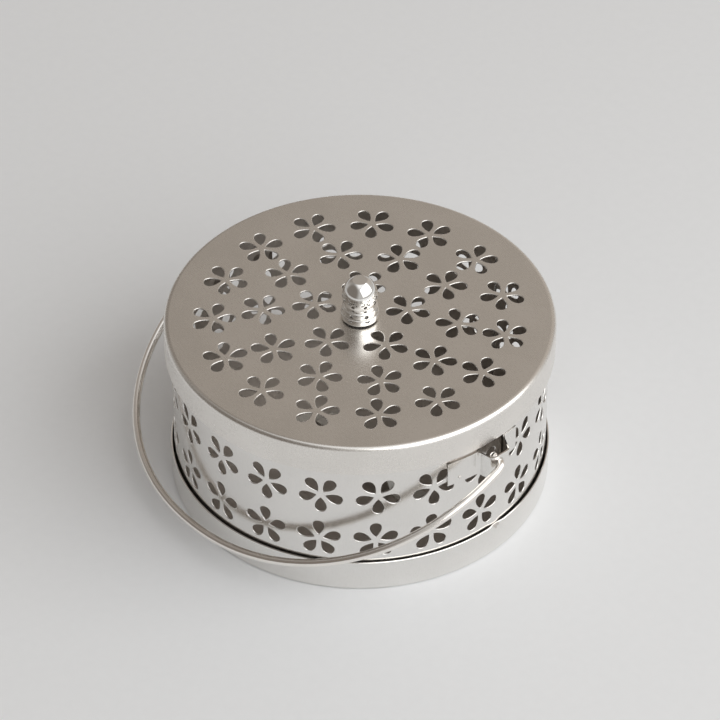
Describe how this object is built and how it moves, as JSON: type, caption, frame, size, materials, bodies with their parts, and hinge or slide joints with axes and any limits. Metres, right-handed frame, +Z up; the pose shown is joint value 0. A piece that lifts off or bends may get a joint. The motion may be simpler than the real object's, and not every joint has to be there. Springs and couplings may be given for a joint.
{
  "type": "mosquito coil holder",
  "caption": "Round perforated sheet-steel mosquito coil holder: a flower-pierced case on a shallow dish, with a lift-off pierced lid, a turned knob and a swinging wire bail.",
  "frame": {"origin": "centre of the flat underside of the dish", "axes": "+Z up; X is the line that the bail pivots on; at rest the bail lies towards -Y"},
  "size_m": [0.1564, 0.148, 0.0854],
  "materials": {
    "satin_steel": "satin nickel-toned sheet steel, soft reflections, bright cut edges",
    "lid_steel": "satin nickel-toned sheet steel with a very fine even grain",
    "steel_wire": "smooth drawn wire, semi-bright",
    "polished_knob": "turned and polished, mirror-like",
    "plated_steel": "plain plated steel",
    "washer": "dark matt washer"
  },
  "bodies": {
    "dish": {"base_dish": "satin_steel", "coil_stand": "plated_steel"},
    "cover": {"body_wall": "satin_steel", "ear_right": "satin_steel", "ear_left": "satin_steel"},
    "lid": {"lid_cap": "lid_steel", "lid_knob": "polished_knob", "knob_washer": "washer", "knob_screw": "plated_steel"},
    "bail": {"bail_wire": "steel_wire"}
  },
  "joints": [
    {"name": "cover_lift", "type": "slide", "parent": "dish", "child": "cover", "axis": [0, 0, 1], "range_m": [0, 0.03]},
    {"name": "lid_lift", "type": "slide", "parent": "cover", "child": "lid", "axis": [0, 0, 1], "range_m": [0, 0.02]},
    {"name": "bail_swing", "type": "hinge", "parent": "cover", "child": "bail", "pos_m": [0, 0, 0.0498], "axis": [-1, 0, 0], "range_deg": [-6, 238]}
  ]
}
